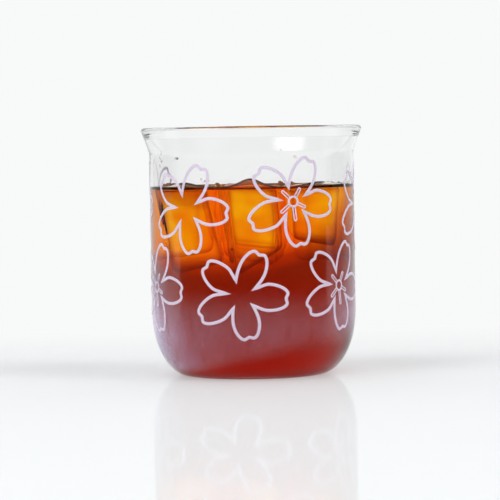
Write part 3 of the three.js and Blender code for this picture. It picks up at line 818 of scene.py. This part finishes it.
def stamen_shapes():
    """A ring, and five long loops that leave it and turn back in a round end."""
    turn = np.linspace(0, 2 * np.pi, RING_STEPS, endpoint=False)
    ring_path = (RING_RADIUS - RING_LINE / 2) * np.column_stack([np.cos(turn), np.sin(turn)])
    shapes = [ribbon(ring_path, RING_LINE, True)]
    half = (FILAMENT_WIDTH - FILAMENT_LINE) / 2
    tip = np.linspace(-np.pi / 2, np.pi / 2, TIP_STEPS)
    start = RING_RADIUS - RING_LINE / 4
    for degrees, length in zip(FILAMENT_TURNS, FILAMENT_LENGTHS):
        tip_x = length - FILAMENT_WIDTH / 2 + half * np.cos(tip)
        loop = np.column_stack([np.r_[start, tip_x, start], np.r_[-half, half * np.sin(tip), half]])
        shapes.append(ribbon(turned_flat(loop, degrees), FILAMENT_LINE, False))
    return shapes


# Fired enamel: a thin, pale lavender, slightly uneven layer with a satin surface that lets some light by
ENAMEL_GRAIN = 1.5
ENAMEL_RELIEF = 0.02
enamel, tree, out = new_material("fired lavender enamel")
place = add(tree, "TexCoord").outputs["Object"]
uneven = add(tree, "TexNoise", {"Vector": place, "Scale": 1 / (ENAMEL_GRAIN * MM), "Detail": 3.0})
uneven = uneven.outputs["Fac"]
cover = add(tree, "Mix", {
    0: uneven, 6: linear("#f2e4ff"), 7: linear("#fcf1ff"),
}, data_type="RGBA").outputs[2]
enamel_shader = add(tree, "BsdfPrincipled", {
    "Base Color": cover, "Roughness": 0.35, "IOR": 1.5, "Transmission Weight": 0.34,
    "Normal": add(tree, "Bump", {
        "Height": uneven, "Distance": ENAMEL_RELIEF * MM, "Strength": 0.5,
    }).outputs[0],
})
tree.links.new(enamel_shader.outputs[0], out.inputs["Surface"])

blossom_points, blossom_faces = ribbon(blossom_path(), LINE_WIDTH, True)
stamen_points, stamen_faces = joined_shapes(stamen_shapes())
for row, row_name in enumerate(("lower", "upper")):
    for number in range(LOWER_ROW_COUNT - row):
        with_stamens = (number + row) % 2 == 1
        azimuth = first_turn + (number + row * ROW_SHIFT_RATIO) * blossom_step
        centre = lower_row + row * row_step + (STAMEN_RISE if with_stamens else 0)
        place_name = f"{row_name}_{number + 1}"
        prints = [("blossom", blossom_points, blossom_faces)]
        if with_stamens:
            prints.append(("stamens", stamen_points, stamen_faces))
        for kind, flat_points, faces in prints:
            points = bent_round(flat_points, azimuth, centre)
            enamelled = solid(f"{kind}_print_{place_name}", points, faces, enamel)
            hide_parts(f"{kind}_{place_name}")
            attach(enamelled, "glass")

# Stage: a pale glossy table that sweeps up into a lit backdrop, one softbox from each side, and the camera.
# Sizes are in metres.
SWEEP_START = 0.22
SWEEP_RADIUS = 0.3
SWEEP_TOP = 1.5
SWEEP_FRONT = -1.6
SWEEP_HALF_WIDTH = 1.8
SWEEP_STEPS = 24
bend = np.linspace(0, np.pi / 2, SWEEP_STEPS)
sweep_y = np.r_[SWEEP_FRONT, SWEEP_START + SWEEP_RADIUS * np.sin(bend), SWEEP_START + SWEEP_RADIUS]
sweep_z = np.r_[0, SWEEP_RADIUS * (1 - np.cos(bend)), SWEEP_TOP]
sweep_points = np.concatenate([
    np.column_stack([np.full_like(sweep_y, side * SWEEP_HALF_WIDTH), sweep_y, sweep_z]) for side in (-1, 1)])
step = np.arange(len(sweep_y) - 1)
sweep_faces = np.stack([step, step + len(sweep_y), step + len(sweep_y) + 1, step + 1], axis=1)

# Lacquer: matt and nearly white, with a faint mirror image of the glass. Behind the glass it is lit as a
# backdrop that falls off to both sides. What the glass mirrors of the table in front is dark, as in a dark
# studio, and the sweep is open where it is seen from behind.
BACKDROP_FROM = 0.06
BACKDROP_FULL = 0.24
BACKDROP_HALF_WIDTH = 0.2
BACKDROP_END = 0.7
FRONT_FADE = 0.04
table, tree, out = new_material("pale lacquered table")
place = add(tree, "TexCoord").outputs["Object"]
spot = add(tree, "SeparateXYZ", {0: place}).outputs
path = add(tree, "LightPath").outputs
seen = path["Is Camera Ray"]
for ray in ("Is Glossy Ray", "Is Transmission Ray"):
    seen = add(tree, "Math", {0: seen, 1: path[ray]}, operation="MAXIMUM").outputs[0]
risen = add(tree, "MapRange", {
    "Value": spot["Y"], "From Min": BACKDROP_FROM, "From Max": BACKDROP_FULL,
}, interpolation_type="SMOOTHSTEP").outputs[0]
lit = add(tree, "Math", {0: seen, 1: risen}, operation="MULTIPLY").outputs[0]
mirrored = add(tree, "Math", {
    0: path["Is Glossy Ray"], 1: path["Is Transmission Ray"],
}, operation="SUBTRACT").outputs[0]
in_front = add(tree, "MapRange", {
    "Value": spot["Y"], "From Min": 0.0, "From Max": -FRONT_FADE,
}).outputs[0]
mirrored = add(tree, "Math", {0: mirrored, 1: in_front}, operation="MULTIPLY").outputs[0]
shade = add(tree, "Mix", {
    0: mirrored, 6: linear("#eaeced"), 7: linear("#2c2c2e"),
}, data_type="RGBA").outputs[2]
matt = add(tree, "BsdfDiffuse", {"Color": shade})
gloss = add(tree, "BsdfGlossy", {"Color": linear("#ffffff"), "Roughness": 0.05})
shine = add(tree, "MapRange", {"Value": mirrored, "To Min": 0.16, "To Max": 0.0}).outputs[0]
lacquer = add(tree, "MixShader", {0: shine, 1: matt.outputs[0], 2: gloss.outputs[0]})
aside = add(tree, "Math", {0: spot["X"]}, operation="ABSOLUTE").outputs[0]
falling = add(tree, "MapRange", {
    "Value": aside, "From Min": BACKDROP_HALF_WIDTH, "From Max": BACKDROP_END, "To Min": 1.0, "To Max": 0.25,
}).outputs[0]
glow = add(tree, "Emission", {"Color": linear("#f8f9f9"), "Strength": falling})
front = add(tree, "MixShader", {0: lit, 1: lacquer.outputs[0], 2: glow.outputs[0]})
behind = add(tree, "NewGeometry").outputs["Backfacing"]
open_back = add(tree, "BsdfTransparent")
one_way = add(tree, "MixShader", {0: behind, 1: front.outputs[0], 2: open_back.outputs[0]})
tree.links.new(one_way.outputs[0], out.inputs["Surface"])
sweep = solid("table_sweep", sweep_points / MM, sweep_faces.tolist(), table)

# The studio's room: even white light, nearly dark where the glass mirrors it
world = bpy.data.worlds.new("studio")
world.use_nodes = True
tree = world.node_tree
path = add(tree, "LightPath").outputs
mirrored = add(tree, "Math", {
    0: path["Is Glossy Ray"], 1: path["Is Transmission Ray"],
}, operation="SUBTRACT").outputs[0]
dimmed = add(tree, "MapRange", {"Value": mirrored, "To Min": 0.6, "To Max": 0.04}).outputs[0]
room_light = tree.nodes["Background"]
room_light.inputs["Color"].default_value = linear("#ffffff")
tree.links.new(dimmed, room_light.inputs["Strength"])
bpy.context.scene.world = world

# The lamps are a softbox on each side. On a lamp, places run from 0 to 1 with its middle at a half.
LAMP_AIM = Vector((0, 0, 0.045))
LAMP_RIM = 0.5
LAMP_CORE = 0.2
CORE_GAIN = 1.9


def softbox(name, place, size, power, mirrored):
    """A round area lamp that faces the glass, soft towards its rim, seen in its gloss or hidden from it."""
    lamp = bpy.data.lights.new(name, "AREA")
    lamp.shape = "DISK"
    lamp.size = size
    lamp.energy = power
    lamp.use_nodes = True
    tree = lamp.node_tree
    on_lamp = add(tree, "NewGeometry").outputs["Parametric"]
    from_middle = add(tree, "VectorMath", {0: on_lamp, 1: (0.5, 0.5, 0)}, operation="DISTANCE")
    soft = add(tree, "MapRange", {
        "Value": from_middle.outputs["Value"],
        "From Min": LAMP_RIM, "From Max": LAMP_CORE, "To Max": CORE_GAIN,
    }, interpolation_type="SMOOTHSTEP").outputs[0]
    tree.links.new(soft, tree.nodes["Emission"].inputs["Strength"])
    holder = bpy.data.objects.new(name, lamp)
    holder.location = place
    holder.rotation_euler = (LAMP_AIM - Vector(place)).to_track_quat("-Z", "Y").to_euler()
    holder.visible_glossy = mirrored
    holder.visible_transmission = False
    bpy.context.scene.collection.objects.link(holder)


softbox("softbox_left", (-0.9, -0.7, 0.9), 1.2, 9.5, True)
softbox("softbox_right", (1.0, -0.5, 0.8), 0.8, 6.5, False)

# The camera stands a little below the rim about a metre away. Lens and sensor are in millimetres.
SENSOR_WIDTH = 36.0
LENS = 194.6
EYE = Vector((0.0, -0.980, 0.083))
TARGET = Vector((-0.00106, 0.0, 0.04496))
ROLL = -0.95
camera_data = bpy.data.cameras.new("camera")
camera_data.sensor_width = SENSOR_WIDTH
camera_data.lens = LENS
camera = bpy.data.objects.new("camera", camera_data)
looking = (TARGET - EYE).to_track_quat("-Z", "Y").to_matrix().to_4x4()
camera.matrix_world = Matrix.Translation(EYE) @ looking @ Matrix.Rotation(np.radians(ROLL), 4, "Z")
bpy.context.scene.collection.objects.link(camera)
bpy.context.scene.camera = camera

# Light crosses many walls of glass, coffee and ice, so its path may be long
scene = bpy.context.scene
scene.view_settings.view_transform = "Standard"
scene.cycles.max_bounces = 40
scene.cycles.transmission_bounces = 40
scene.cycles.transparent_max_bounces = 32
